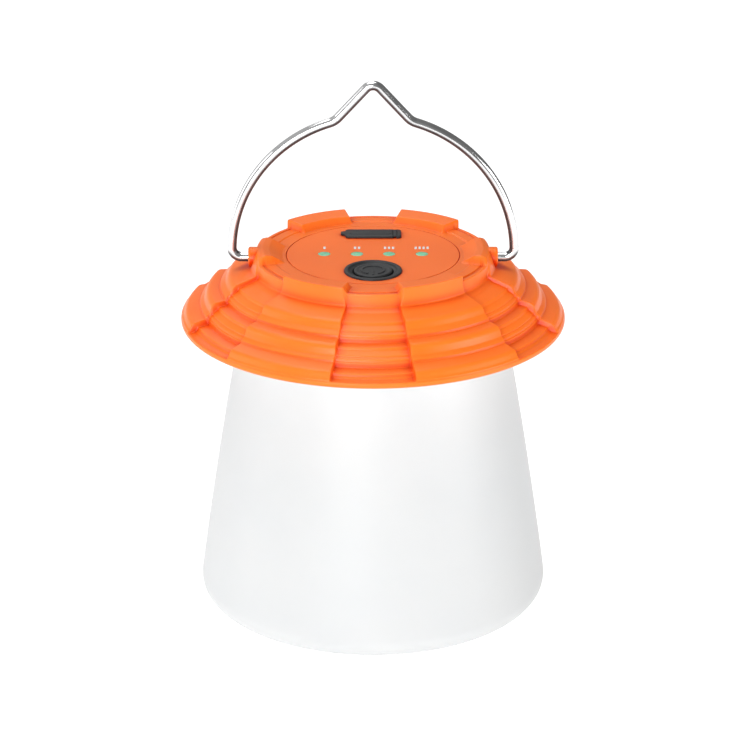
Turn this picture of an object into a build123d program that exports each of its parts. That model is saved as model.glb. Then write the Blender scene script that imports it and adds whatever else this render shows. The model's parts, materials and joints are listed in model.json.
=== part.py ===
from build123d import *
from math import acos, asin, atan2, cos, degrees, radians, sin, sqrt
import os

os.makedirs("parts", exist_ok=True)

# A free-standing rechargeable lantern. Millimetres, +Z up, the origin in the middle of the
# underside of the diffuser, which the lantern stands on. -Y is the front, where the button is.

# ---------------------------------------------------------------- overall sizes
brim_radius = 60.0           # widest radius of the cap
brim_z = 93.8                # height of the cap's widest plane
bail_height = 74.3           # top of the bail's centreline above the brim plane

# ---------------------------------------------------------------- cap
wall = 2.0                   # moulded wall of the cap
crown_width = 10.9           # from the panel out to the crown's foot, where the tiles start
crown_foot = 16.4            # height of that foot above the brim plane
crown_taper = 0.1            # how far the crown leans in from its foot to its top
merlon_top = 22.15           # top of the raised sectors above the brim plane
merlon_thickness = 6.4       # radial thickness of a raised sector at its top
merlon_foot = 1.8            # how far its inner side slopes in to its foot
merlon_fall = 0.4            # fall of its top towards the inside
merlon_edge = 0.4            # chamfer of its outer top edge
sill_z = 19.9                # floor of the gaps between the raised sectors
sector_count = 6
raised_half_angle = 17.6     # half of the angle that a raised sector covers
recess_run = 1.1             # how far a channel lies inside a raised sector
recess_drop = 0.9            # how far it lies below it
tile_run_shares = (0.443, 0.290, 0.267)     # how three tiles share the way out to the brim
tile_drop_shares = (0.391, 0.320, 0.289)    # how they share the way down to it
ledge_drops = (2.2, 0.5, 1.1)               # fall of each tile's ledge
face_runs = (2.5, 2.3, 1.4)                 # run of each tile's steep face
tile_round = 1.8             # round between a ledge and its steep face
channel_round = 0.8          # the same in a channel, which is crisper
lip_run = 0.9                # flared lip at the foot of a steep face
lip_drop = 1.0
step_drop = 0.5              # small step under each lip
rim_bottom = 1.3             # underside of the rim below the brim plane
rim_lip_height = 1.7         # unbroken lip round the whole rim
rim_wall = 3.0               # width of that lip
rim_edge = 0.4               # chamfer of its outer corners
rim_step = 0.6               # how far the last tile stops inside the rim

# ---------------------------------------------------------------- panel in the cap's top
panel_radius = 27.0
panel_thickness = 1.8
panel_top = 19.7             # above the brim plane
panel_gap = 0.1              # round the panel
panel_chamfer = 0.25
panel_ledge = 2.0            # width of the ledge that the panel sits on
deck_thickness = 3.4         # from the sills to the inside of the cap's top

# ---------------------------------------------------------------- bail and its ears
wire_radius = 1.5
bail_reach = 5.1             # round of the bail beyond the ears' bosses, on the centreline
bail_centre = 1.7            # centre of that round above the hinge axis
bail_corner = 3.0            # bend from the pin into the round
bail_reverse_bend = 6.0      # bend from the round into the straight leg
bail_peak_radius = 3.0
bail_leg_angle = 47.5        # slope of the straight legs to the peak, degrees
hinge_height = 18.9          # hinge axis above the brim plane
pin_length = 6.6             # pin inside its ear
pin_chamfer = 0.3
pin_clearance = 0.06         # running fit of the pin in its bore
ear_boss_radius = 3.1
ear_boss_length = 1.0        # how far the boss stands out beyond the merlons
ear_inner_run = 5.4          # slope from the panel's edge up to the ear's crest
ear_crest = 22.3             # top of an ear above the brim plane
ear_setback = 2.0            # how far its outer edge lies inside a merlon's
ear_foot = 0.6               # setback of the ear's foot from the panel's edge
ear_round = 1.2
pin_end_gap = 0.3            # behind the pin in its blind bore

# ---------------------------------------------------------------- button
button_y = -15.4
bezel_radius = 9.0
button_radius = 6.0
button_gap = 0.3             # between the button and its bezel
bezel_rise = 0.6             # above the panel
button_rise = 0.5
button_travel = 0.6
bezel_lip = 0.8              # flange of the bezel under the panel
bezel_hole_radius = 7.6
stem_radius = 1.7
symbol_radius = 3.8
symbol_line = 0.7
symbol_rise = 0.15

# ---------------------------------------------------------------- charging port
port_x = -1.0
port_y = 18.05
port_cover_width = 6.8       # along Y
port_cover_tip = -10.2       # X of the finger tab's tip
port_cover_shoulder = -8.5   # X where the tab starts
port_cover_end = 8.9         # X of the anchor's far end
port_hinge_x = 6.9
port_web_gap = 0.45          # from the hinge axis to the flap, and to the anchor
port_cover_rise = 0.75
port_cover_seat = 0.15       # gap between the flap and the panel
port_corner = 1.2
usb_length = 8.94            # shell of a USB-C receptacle
usb_width = 3.26
usb_wall = 0.3
usb_tongue_length = 6.2
usb_tongue_width = 0.7
usb_mouth_depth = 0.8        # mouth of the receptacle below the panel's top
port_hole_gap = 0.35         # round the receptacle in the panel
plug_gap = 0.6               # round the flap's plug in the mouth
plug_depth = 0.7             # the plug enters the mouth
plug_side_gap = 0.2          # beside the plug in the mouth
tab_half_width = 1.4         # half of the finger tab's blunt tip
usb_mouth_length = 5.0       # depth of the receptacle's mouth
usb_tongue_gap = 0.4         # between the plug and the receptacle's tongue

# ---------------------------------------------------------------- indicators
indicator_xs = (-15.2, -5.0, 5.0, 15.2)
indicator_y = 0.3
indicator_radius = 1.95
indicator_rise = 0.15
indicator_flange = 0.6       # flange under the panel, as thick as it is wide
light_pipe_radius = 1.2
lens_led_gap = 0.3

# ---------------------------------------------------------------- main board
board_radius = 24.4
board_thickness = 1.6
board_drop = 5.3             # from the panel's underside to the board's top
board_post_x = 17.8
board_post_y = 10.3
board_post_radius = 2.4
switch_size = 6.0
switch_height = 3.4
plunger_radius = 1.6
plunger_clearance = 0.08
plunger_depth = 1.0          # of the plunger in its switch
indicator_led_height = 0.8
board_part_height = 1.0

# ---------------------------------------------------------------- cells and their tray
cell_radius = 9.1
cell_length = 65.0
cell_nub_radius = 2.8
cell_nub_height = 1.0
cell_gap = 0.6               # between the two cells
cell_drop = 0.6              # below the board's screw heads
contact_thickness = 0.3
contact_width = 7.0
tray_wall = 1.0
tray_floor = 1.5
tray_gap = 0.2               # between the cells' corners and the tray's wall
cradle_height = 4.0
cradle_thickness = 3.0
cradle_x = 20.0
cradle_clearance = 0.1
tray_lug_radius = 2.7
tray_lug_thickness = 1.6
tray_screw_count = 3

# ---------------------------------------------------------------- light module
led_board_radius = 33.0
led_board_thickness = 1.6
led_length = 3.5
led_width = 2.8
led_height = 0.8
led_rings = ((12, 26.0, 15.0), (6, 13.0, 0.0))    # count, radius, first angle
reflector_thickness = 1.2
reflector_wall = 1.2
reflector_window_radius = 3.0
reflector_led_gap = 0.2
reflector_screw_radius = 26.0
reflector_screw_count = 4
reflector_post_height = 3.0   # of the tray's posts above its floor
reflector_screw_hold = 7.0
reflector_post_radius = 2.2

# ---------------------------------------------------------------- base ring and diffuser
base_thickness = 2.4
base_gap = 0.1               # round the ring in the rim
counterbore_gap = 0.2        # round a screw head in the ring
collar_height = 1.2          # above the ring
collar_wall = 1.6
base_screw_inset = 0.9       # inside the first tile's foot
tray_screw_offset = 3.6      # outside the crown's foot
neck_gap = 0.25              # between the tray and the diffuser's neck
neck_wall = 1.2
neck_clearance = 0.15        # neck in the ring
snap_height = 1.5
snap_overhang = 0.8
snap_half_angle = 8.0
snap_slot_angle = 10.0       # from a hook's middle to the slot on each side of it
snap_slot_width = 1.5
gasket_thickness = 0.8
shoulder_width = 1.0
diffuser_wall = 1.6
diffuser_foot = 55.8         # outer radius at the floor, before the bottom is rounded
diffuser_bottom_round = 6.6
diffuser_bulge = 0.6         # how far the side bows out of a straight cone
diffuser_floor = 2.0

# ---------------------------------------------------------------- screws
screw_slot_length = 2.4      # cross recess in the head
screw_slot_width = 0.6
screw_slot_depth = 0.7
screw_shaft = 1.1            # radius of a 2.2 mm self-tapping screw
screw_clearance = 0.05
screw_head = 2.1
screw_head_height = 1.3
screw_hold = 4.0             # length in a boss
base_post_sink = 0.9         # how far a post runs into the cap's wall
tray_post_sink = 0.1
tray_lug_gap = 0.9           # between the diffuser's neck and the tray's screw heads
boss_radius = 2.6


def up(height):
    """Height above the brim plane, as a Z in the lantern's frame."""
    return brim_z + height


# ================================================================ cap shell
crown_radius = panel_radius + crown_width

# Feet of the tiles, from the foot of the crown out to the rim.
tile_span = brim_radius - rim_step - crown_radius
tile_fall = crown_foot + step_drop
feet = [(crown_radius, up(crown_foot))]
for run_share, drop_share in zip(tile_run_shares, tile_drop_shares):
    last_r, last_z = feet[-1]
    feet.append((last_r + tile_span * run_share, last_z - tile_fall * drop_share))


def tile_corner(index):
    """Sharp corner between a tile's ledge and its steep face, before it is rounded."""
    return (feet[index + 1][0] - face_runs[index], feet[index][1] - ledge_drops[index])


def ledge_inside(radius):
    """Height of the cap's inside at a radius under the first tile's ledge."""
    corner_r, corner_z = tile_corner(0)
    share = (radius + inside_run - crown_radius) / (corner_r - crown_radius)
    return up(crown_foot) + share * (corner_z - up(crown_foot)) - inside_drop


def roof_points(run, drop):
    """The stepped outline from the crown's foot to the rim, moved in and down."""
    points = [(feet[0][0] - run, feet[0][1] - drop)]
    for index in range(len(face_runs)):
        foot_r, foot_z = feet[index + 1]
        corner_r, corner_z = tile_corner(index)
        points.append((corner_r - run, corner_z - drop))
        points.append((foot_r - lip_run - run, foot_z + step_drop + lip_drop - drop))
        points.append((foot_r - run, foot_z + step_drop - drop))
        points.append((foot_r - run, foot_z - drop))
    return points


def is_tile_corner(vertex, run, drop):
    """True at a vertex of the outline that is a tile's rounded corner."""
    for index in range(len(face_runs)):
        corner_r, corner_z = tile_corner(index)
        if abs(vertex.X - corner_r + run) < 0.01 and abs(vertex.Z - corner_z + drop) < 0.01:
            return True
    return False


rim_z = up(-rim_bottom)
rim_inner = brim_radius - rim_wall
merlon_outer = crown_radius - crown_taper
merlon_inner = merlon_outer - merlon_thickness
sill_radius = merlon_outer - recess_run
ear_outer = merlon_outer - ear_setback
inside_run = recess_run + wall
inside_drop = recess_drop + wall
deck_z = up(sill_z - deck_thickness)
panel_z = up(panel_top - panel_thickness)
panel_edge = panel_radius + panel_gap
opening_radius = panel_radius - panel_ledge
ear_crest_radius = panel_edge + ear_foot + ear_inner_run
hinge_z = up(hinge_height)
boss_face = merlon_outer + ear_boss_length
bail_radius = boss_face + bail_reach
ledge_under_boss = up(crown_foot - step_drop)
base_top = rim_z + base_thickness
base_screw_radius = feet[1][0] - base_screw_inset
tray_screw_radius = crown_radius + tray_screw_offset
base_post_top = feet[1][1] - inside_drop + base_post_sink
neck_top = base_top + collar_height + snap_height
tray_lug_top = neck_top + screw_head_height + tray_lug_gap + tray_lug_thickness
tray_post_top = ledge_inside(tray_screw_radius - boss_radius) + tray_post_sink

# Heights and radii that several pieces share.
board_top = panel_z - board_drop
board_under = board_top - board_thickness
cell_z = board_under - screw_head_height - cell_drop - cell_radius
cell_y = cell_radius + cell_gap / 2
tray_inner = sqrt((cell_length / 2 + contact_thickness) ** 2 + (cell_y + cell_radius) ** 2)
tray_outer = tray_inner + tray_gap + tray_wall
tray_floor_top = cell_z - cell_radius - cradle_clearance
tray_under = tray_floor_top - tray_floor
neck_inner = tray_outer + neck_gap
neck_outer = neck_inner + neck_wall
collar_inner = neck_outer + neck_clearance
led_board_under = tray_under - led_board_thickness
reflector_top = led_board_under - led_height - reflector_led_gap
reflector_under = reflector_top - reflector_thickness
reflector_radius = tray_outer - reflector_wall / 2
port_plane_z = up(panel_top)
usb_top = port_plane_z - usb_mouth_depth


def write(solid, name):
    """Write a finished piece to its own STEP file, under its own name."""
    solid.label = name
    export_step(solid, f"parts/{name}.step")


def raised_sector(top_points):
    """One raised sector, centred on +X: three tiles under a top of the given outline."""
    with BuildPart() as sector:
        with BuildSketch(Plane.XZ) as outline:
            with BuildLine():
                Polyline(
                    *top_points,
                    *roof_points(0, 0),
                    (rim_inner + rim_step, brim_z),
                    (crown_radius, deck_z - wall),
                    close=True,
                )
            make_face()
            fillet([v for v in outline.vertices() if is_tile_corner(v, 0, 0)], tile_round)
        revolve(axis=Axis.Z, revolution_arc=raised_half_angle)
        mirror(about=Plane.XZ)
    return sector.part


merlon_sector = raised_sector(
    (
        (merlon_inner - merlon_foot, deck_z),
        (merlon_inner - merlon_foot, up(sill_z)),
        (merlon_inner, up(merlon_top - merlon_fall)),
        (merlon_outer - merlon_edge, up(merlon_top)),
        (merlon_outer, up(merlon_top - merlon_edge)),
    )
)
# An ear: a rounded lump in place of the merlon, which holds one end of the bail.
ear_sector = raised_sector(
    (
        (panel_edge + ear_foot, deck_z),
        (panel_edge + ear_foot, up(sill_z)),
        (ear_crest_radius - ear_round, up(ear_crest - ear_round / 2)),
        (ear_crest_radius + ear_round / 2, up(ear_crest)),
        (ear_outer - ear_round / 2, up(ear_crest)),
        (ear_outer, up(ear_crest - ear_round / 2)),
        (ear_outer + ear_round, up(hinge_height)),
    )
)

with BuildPart() as cap_shell:
    with BuildSketch(Plane.XZ) as channel_outline:
        with BuildLine():
            Polyline(
                (opening_radius, up(-rim_bottom)),
                (opening_radius, panel_z),
                (panel_edge, panel_z),
                (panel_edge, up(sill_z)),
                (sill_radius, up(sill_z)),
                *roof_points(recess_run, recess_drop),
                (rim_inner, rim_z),
                close=True,
            )
        make_face()
        corners = channel_outline.vertices()
        fillet([v for v in corners if is_tile_corner(v, recess_run, recess_drop)], channel_round)
    revolve(axis=Axis.Z)
    with BuildSketch(Plane.XZ):
        with BuildLine():
            Polyline(
                (rim_inner - rim_step, rim_z),
                (brim_radius - rim_edge, rim_z),
                (brim_radius, rim_z + rim_edge),
                (brim_radius, rim_z + rim_lip_height - rim_edge),
                (brim_radius - rim_edge, rim_z + rim_lip_height),
                (rim_inner - rim_step, rim_z + rim_lip_height),
                close=True,
            )
        make_face()
    revolve(axis=Axis.Z)
    for sector in range(sector_count):
        is_ear = sector % (sector_count // 2) == 0
        turn = Rot(0, 0, sector * 360 / sector_count)
        add(turn * (ear_sector if is_ear else merlon_sector))
    # Hollow inside, following the roof at one wall's thickness.
    with BuildSketch(Plane.XZ):
        with BuildLine():
            inside_points = roof_points(inside_run, inside_drop)
            Polyline(
                (0, deck_z),
                (sill_radius - wall, deck_z),
                *inside_points,
                (0, inside_points[-1][1]),
                close=True,
            )
        make_face()
    revolve(axis=Axis.Z, mode=Mode.SUBTRACT)
    # Rebate for the base ring.
    with BuildSketch(Plane.XY.offset(rim_z)):
        Circle(rim_inner)
    extrude(amount=base_thickness, mode=Mode.SUBTRACT)
    # Posts for the screws of the base ring and of the tray.
    with BuildSketch(Plane.XY.offset(base_top)):
        with PolarLocations(base_screw_radius, sector_count, start_angle=180 / sector_count):
            Circle(boss_radius)
            Circle(screw_shaft + screw_clearance, mode=Mode.SUBTRACT)
    extrude(amount=base_post_top - base_top)
    with BuildSketch(Plane.XY.offset(tray_lug_top)):
        with PolarLocations(tray_screw_radius, tray_screw_count):
            Circle(boss_radius)
            Circle(screw_shaft + screw_clearance, mode=Mode.SUBTRACT)
    extrude(amount=tray_post_top - tray_lug_top)
    # A boss on each ear, with a pointed rib down to the first ledge, and the bail's blind bore.
    for side in (1, -1):
        ear_face = Plane(
            origin=(side * boss_face, 0, hinge_z), x_dir=(0, side, 0), z_dir=(side, 0, 0)
        )
        with BuildSketch(ear_face):
            Circle(ear_boss_radius)
            Polygon(
                (ear_boss_radius * 0.9, -ear_boss_radius * 0.4),
                (0, ledge_under_boss - hinge_z),
                (-ear_boss_radius * 0.9, -ear_boss_radius * 0.4),
                align=None,
            )
        extrude(amount=-(ear_boss_length + recess_run))
        with BuildSketch(ear_face):
            Circle(wire_radius + pin_clearance)
        extrude(amount=-(pin_length + pin_end_gap), mode=Mode.SUBTRACT)
write(cap_shell.part, "cap_shell")


# ================================================================ control panel
port_hole_length = usb_length + 2 * port_hole_gap
port_hole_width = usb_width + 2 * port_hole_gap
board_post_spots = GridLocations(2 * board_post_x, 2 * board_post_y, 2, 2)
port_corner_radius = port_hole_width * 0.45

with BuildPart() as control_panel:
    with BuildSketch(Plane.XY.offset(panel_z)):
        Circle(panel_radius)
        with Locations((0, button_y)):
            Circle(bezel_hole_radius, mode=Mode.SUBTRACT)
        with Locations((port_x, port_y)):
            RectangleRounded(
                port_hole_length, port_hole_width, port_corner_radius, mode=Mode.SUBTRACT
            )
        with Locations(*[(x, indicator_y) for x in indicator_xs]):
            Circle(indicator_radius, mode=Mode.SUBTRACT)
    extrude(amount=panel_thickness)
    rims = control_panel.edges().filter_by(GeomType.CIRCLE).sort_by(SortBy.RADIUS)[-2:]
    chamfer(rims.sort_by(Axis.Z)[-1], panel_chamfer)
    with BuildSketch(Plane.XY.offset(board_top)):
        with board_post_spots:
            Circle(board_post_radius)
            Circle(screw_shaft + screw_clearance, mode=Mode.SUBTRACT)
    extrude(amount=board_drop)
write(control_panel.part, "control_panel")

# ================================================================ button
with BuildPart() as button_bezel:
    with BuildSketch(Plane.XZ):
        with BuildLine():
            Polyline(
                (button_radius + button_gap, panel_z - bezel_lip),
                (button_radius + button_gap, port_plane_z),
                (bezel_hole_radius, port_plane_z + bezel_rise * 0.6),
                (bezel_radius - 0.6, port_plane_z + bezel_rise),
                (bezel_radius, port_plane_z + bezel_rise * 0.5),
                (bezel_radius, port_plane_z),
                (bezel_hole_radius, port_plane_z),
                (bezel_hole_radius, panel_z),
                (bezel_radius, panel_z),
                (bezel_radius, panel_z - bezel_lip),
                close=True,
            )
        make_face()
    revolve(axis=Axis.Z)
write(Pos(0, button_y, 0) * button_bezel.part, "button_bezel")

stem_foot = board_top + switch_height + button_travel + plunger_clearance
with BuildPart() as power_button:
    with BuildSketch(Plane.XY.offset(panel_z)):
        with Locations((0, button_y)):
            Circle(button_radius)
    extrude(amount=panel_thickness + button_rise)
    fillet(power_button.edges().group_by(Axis.Z)[-1], 0.4)
    # Relief of the on/off symbol: a broken ring with a bar in its gap, towards the front.
    with BuildSketch(Plane.XY.offset(port_plane_z + button_rise)):
        with Locations((0, button_y)):
            Circle(symbol_radius)
            Circle(symbol_radius - symbol_line, mode=Mode.SUBTRACT)
        with Locations((0, button_y - symbol_radius)):
            Rectangle(3 * symbol_line, 2 * symbol_radius, mode=Mode.SUBTRACT)
        with Locations((0, button_y - symbol_radius * 0.8)):
            Rectangle(symbol_line, symbol_radius)
    extrude(amount=symbol_rise)
    with BuildSketch(Plane.XY.offset(stem_foot)):
        with Locations((0, button_y)):
            Circle(stem_radius)
    extrude(amount=panel_z - stem_foot)
write(power_button.part, "power_button")

# ================================================================ charging port
flap_end = port_hinge_x - port_web_gap
anchor_start = port_hinge_x + port_web_gap
flap_z = port_plane_z + port_cover_seat
half_cover = port_cover_width / 2
plug_length = usb_length - 2 * (usb_wall + plug_gap)
plug_width = usb_width - 2 * usb_wall - 2 * plug_side_gap

with BuildPart() as port_cover:
    with BuildSketch(Plane.XY.offset(flap_z)):
        with BuildLine():
            Polyline(
                (flap_end, port_y - half_cover),
                (flap_end, port_y + half_cover),
                (port_cover_shoulder, port_y + half_cover),
                (port_cover_tip, port_y + tab_half_width),
                (port_cover_tip, port_y - tab_half_width),
                (port_cover_shoulder, port_y - half_cover),
                close=True,
            )
        make_face()
    extrude(amount=port_cover_rise)
    fillet(port_cover.edges().filter_by(Axis.Z).sort_by(Axis.X)[:4], 0.9)
    chamfer(port_cover.edges().group_by(Axis.Z)[-1], 0.25)
    # Plug that seals the mouth of the receptacle.
    with BuildSketch(Plane.XY.offset(flap_z)):
        with Locations((port_x, port_y)):
            RectangleRounded(plug_length, plug_width, plug_width * 0.45)
    extrude(amount=-(usb_mouth_depth + port_cover_seat + plug_depth))
write(port_cover.part, "port_cover")

with BuildPart() as port_cover_anchor:
    with BuildSketch(Plane.XY.offset(port_plane_z)) as anchor_outline:
        with BuildLine():
            Polyline(
                (anchor_start, port_y - half_cover),
                (port_cover_end, port_y - half_cover),
                (port_cover_end, port_y + half_cover),
                (anchor_start, port_y + half_cover),
                close=True,
            )
        make_face()
        fillet(anchor_outline.vertices().group_by(Axis.X)[-1], port_corner)
    extrude(amount=port_cover_rise + port_cover_seat)
    chamfer(port_cover_anchor.edges().group_by(Axis.Z)[-1], 0.25)
write(port_cover_anchor.part, "port_cover_anchor")

with BuildPart() as usb_receptacle:
    with BuildSketch(Plane.XY.offset(board_top)):
        with Locations((port_x, port_y)):
            RectangleRounded(usb_length, usb_width, usb_width * 0.45)
    extrude(amount=usb_top - board_top)
    mouth_length = usb_length - 2 * usb_wall
    mouth_width = usb_width - 2 * usb_wall
    with BuildSketch(Plane.XY.offset(usb_top)):
        with Locations((port_x, port_y)):
            RectangleRounded(mouth_length, mouth_width, mouth_width * 0.45)
    extrude(amount=-usb_mouth_length, mode=Mode.SUBTRACT)
    with BuildSketch(Plane.XY.offset(usb_top - usb_mouth_length)):
        with Locations((port_x, port_y)):
            Rectangle(usb_tongue_length, usb_tongue_width)
    extrude(amount=usb_mouth_length - plug_depth - usb_tongue_gap)
write(usb_receptacle.part, "usb_receptacle")

# ================================================================ indicators
lens_foot = board_top + indicator_led_height + lens_led_gap
for number, lens_x in enumerate(indicator_xs, 1):
    with BuildPart() as indicator_lens:
        with BuildSketch(Plane.XY.offset(panel_z)):
            with Locations((lens_x, indicator_y)):
                Circle(indicator_radius)
        extrude(amount=panel_thickness + indicator_rise)
        fillet(indicator_lens.edges().group_by(Axis.Z)[-1], 0.3)
        with BuildSketch(Plane.XY.offset(panel_z - indicator_flange)):
            with Locations((lens_x, indicator_y)):
                Circle(indicator_radius + indicator_flange)
        extrude(amount=indicator_flange)
        with BuildSketch(Plane.XY.offset(lens_foot)):
            with Locations((lens_x, indicator_y)):
                Circle(light_pipe_radius)
        extrude(amount=panel_z - indicator_flange - lens_foot)
    write(indicator_lens.part, f"indicator_lens_{number}")

# ================================================================ main board
with BuildPart() as main_board:
    with BuildSketch(Plane.XY.offset(board_under)):
        Circle(board_radius)
        with board_post_spots:
            Circle(screw_shaft + screw_clearance, mode=Mode.SUBTRACT)
    extrude(amount=board_thickness)
write(main_board.part, "main_board")

with BuildPart() as board_parts:
    with BuildSketch(Plane.XY.offset(board_top)):
        with Locations((-9.5, 9.5)):
            Rectangle(4.0, 4.0)
        with Locations((9.0, 8.0)):
            Rectangle(5.0, 5.0)
        with Locations((-14.0, -6.0), (14.0, -6.0), (-9.0, -6.5)):
            Rectangle(2.0, 1.2)
    extrude(amount=board_part_height)
write(board_parts.part, "board_parts")

with BuildPart() as indicator_leds:
    with BuildSketch(Plane.XY.offset(board_top)):
        with Locations(*[(x, indicator_y) for x in indicator_xs]):
            Rectangle(2.0, 1.25)
    extrude(amount=indicator_led_height)
write(indicator_leds.part, "indicator_leds")

switch_top = board_top + switch_height
with BuildPart() as tactile_switch:
    with BuildSketch(Plane.XY.offset(board_top)):
        with Locations((0, button_y)):
            Rectangle(switch_size, switch_size)
    extrude(amount=switch_height)
    with BuildSketch(Plane.XY.offset(switch_top)):
        with Locations((0, button_y)):
            Circle(plunger_radius + plunger_clearance)
    extrude(amount=-(plunger_depth + 2 * button_travel), mode=Mode.SUBTRACT)
write(tactile_switch.part, "tactile_switch")

with BuildPart() as switch_plunger:
    with BuildSketch(Plane.XY.offset(switch_top - plunger_depth)):
        with Locations((0, button_y)):
            Circle(plunger_radius)
    extrude(amount=stem_foot - switch_top + plunger_depth)
write(switch_plunger.part, "switch_plunger")


def screws(spots, head_under, hold=screw_hold):
    """A group of self-tapping screws, heads down, their heads' bearing faces at one height."""
    with BuildPart() as group:
        with BuildSketch(Plane.XY.offset(head_under)):
            with spots:
                Circle(screw_head)
        extrude(amount=-screw_head_height)
        with BuildSketch(Plane.XY.offset(head_under)):
            with spots:
                Circle(screw_shaft)
        extrude(amount=hold)
        with BuildSketch(Plane.XY.offset(head_under - screw_head_height)):
            with spots:
                Rectangle(screw_slot_length, screw_slot_width)
                Rectangle(screw_slot_width, screw_slot_length)
        extrude(amount=screw_slot_depth, mode=Mode.SUBTRACT)
    return group.part


write(screws(board_post_spots, board_under), "board_screws")

# ================================================================ cells and their tray
cell_rows = (("battery_cell_1", -cell_y, 1), ("battery_cell_2", cell_y, -1))
for cell_name, row_y, nub_side in cell_rows:
    can_start = -nub_side * cell_length / 2
    with BuildPart() as battery_cell:
        with BuildSketch(Plane(origin=(can_start, row_y, cell_z), z_dir=(nub_side, 0, 0))):
            Circle(cell_radius)
        extrude(amount=cell_length - cell_nub_height)
        fillet(battery_cell.edges().filter_by(GeomType.CIRCLE), 0.6)
        with BuildSketch(Plane(origin=(-can_start, row_y, cell_z), z_dir=(-nub_side, 0, 0))):
            Circle(cell_nub_radius)
        extrude(amount=cell_nub_height)
    write(battery_cell.part, cell_name)

contact_x = cell_length / 2
with BuildPart() as cell_contacts:
    # One strip joins the cells in series at +X; two tabs take the leads at -X.
    with BuildSketch(Plane.YZ.offset(contact_x)):
        with Locations((0, cell_z)):
            Rectangle(2 * cell_y + contact_width, contact_width)
    extrude(amount=contact_thickness)
    with BuildSketch(Plane.YZ.offset(-contact_x)):
        with Locations((-cell_y, cell_z), (cell_y, cell_z)):
            Rectangle(contact_width, contact_width)
    extrude(amount=-contact_thickness)
write(cell_contacts.part, "cell_contacts")

tray_spots = PolarLocations(tray_screw_radius, tray_screw_count)
reflector_spots = PolarLocations(reflector_screw_radius, reflector_screw_count)
end_wall_x = contact_x + contact_thickness
with BuildPart() as battery_tray:
    with BuildSketch(Plane.XY.offset(tray_under)):
        Circle(tray_outer)
    extrude(amount=tray_lug_top - tray_under)
    with BuildSketch(Plane.XY.offset(tray_floor_top)):
        Circle(tray_outer - tray_wall)
    extrude(amount=tray_lug_top - tray_floor_top, mode=Mode.SUBTRACT)
    # Cradles under the cells, and a stop at each end.
    with BuildSketch(Plane.XY.offset(tray_floor_top)):
        with Locations((-cradle_x, 0), (cradle_x, 0)):
            Rectangle(cradle_thickness, 2 * (cell_y + cell_radius) - cradle_height)
    extrude(amount=cradle_height)
    with BuildSketch(Plane.XY.offset(tray_floor_top)):
        for side in (1, -1):
            with Locations((side * (end_wall_x + tray_wall / 2), 0)):
                Rectangle(tray_wall, 2 * cell_y)
    extrude(amount=cell_radius + contact_width / 2)
    for row_y in (-cell_y, cell_y):
        with BuildSketch(Plane.YZ.offset(-contact_x)):
            with Locations((row_y, cell_z)):
                Circle(cell_radius + cradle_clearance)
        extrude(amount=cell_length, mode=Mode.SUBTRACT)
    # Posts for the screws of the light module.
    with BuildSketch(Plane.XY.offset(tray_floor_top)):
        with reflector_spots:
            Circle(reflector_post_radius)
    extrude(amount=reflector_post_height)
    with BuildSketch(Plane.XY.offset(tray_under)):
        with reflector_spots:
            Circle(screw_shaft + screw_clearance)
    extrude(amount=tray_floor + reflector_post_height, mode=Mode.SUBTRACT)
    # Lugs that hang the tray from the cap.
    with BuildSketch(Plane.XY.offset(tray_lug_top - tray_lug_thickness)):
        with tray_spots:
            Circle(tray_lug_radius)
        with PolarLocations(tray_screw_radius / 2, tray_screw_count):
            Rectangle(tray_screw_radius, 2 * tray_lug_radius)
        Circle(tray_outer - tray_wall, mode=Mode.SUBTRACT)
        with tray_spots:
            Circle(screw_shaft + screw_clearance, mode=Mode.SUBTRACT)
    extrude(amount=tray_lug_thickness)
write(battery_tray.part, "battery_tray")
write(screws(tray_spots, tray_lug_top - tray_lug_thickness), "tray_screws")

# ================================================================ light module
with BuildPart() as led_board:
    with BuildSketch(Plane.XY.offset(led_board_under)):
        Circle(led_board_radius)
        with reflector_spots:
            Circle(screw_shaft + screw_clearance, mode=Mode.SUBTRACT)
    extrude(amount=led_board_thickness)
write(led_board.part, "led_board")

with BuildPart() as led_emitters:
    with BuildSketch(Plane.XY.offset(led_board_under)):
        for ring_count, ring_radius, first_angle in led_rings:
            with PolarLocations(ring_radius, ring_count, start_angle=first_angle):
                Rectangle(led_length, led_width)
    extrude(amount=-led_height)
write(led_emitters.part, "led_emitters")

with BuildPart() as reflector_plate:
    with BuildSketch(Plane.XY.offset(reflector_under)):
        Circle(reflector_radius)
        for ring_count, ring_radius, first_angle in led_rings:
            with PolarLocations(ring_radius, ring_count, start_angle=first_angle):
                Circle(reflector_window_radius, mode=Mode.SUBTRACT)
        with reflector_spots:
            Circle(screw_shaft + screw_clearance, mode=Mode.SUBTRACT)
    extrude(amount=reflector_thickness)
    with BuildSketch(Plane.XY.offset(reflector_top)):
        Circle(reflector_radius)
        Circle(reflector_radius - reflector_wall, mode=Mode.SUBTRACT)
    extrude(amount=tray_under - reflector_top)
    # Posts that keep the plate off the board.
    with BuildSketch(Plane.XY.offset(reflector_top)):
        with reflector_spots:
            Circle(reflector_post_radius)
            Circle(screw_shaft + screw_clearance, mode=Mode.SUBTRACT)
    extrude(amount=led_board_under - reflector_top)
write(reflector_plate.part, "reflector_plate")
write(screws(reflector_spots, reflector_under, reflector_screw_hold), "reflector_screws")

# ================================================================ base ring and diffuser
base_spots = PolarLocations(base_screw_radius, sector_count, start_angle=180 / sector_count)

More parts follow.
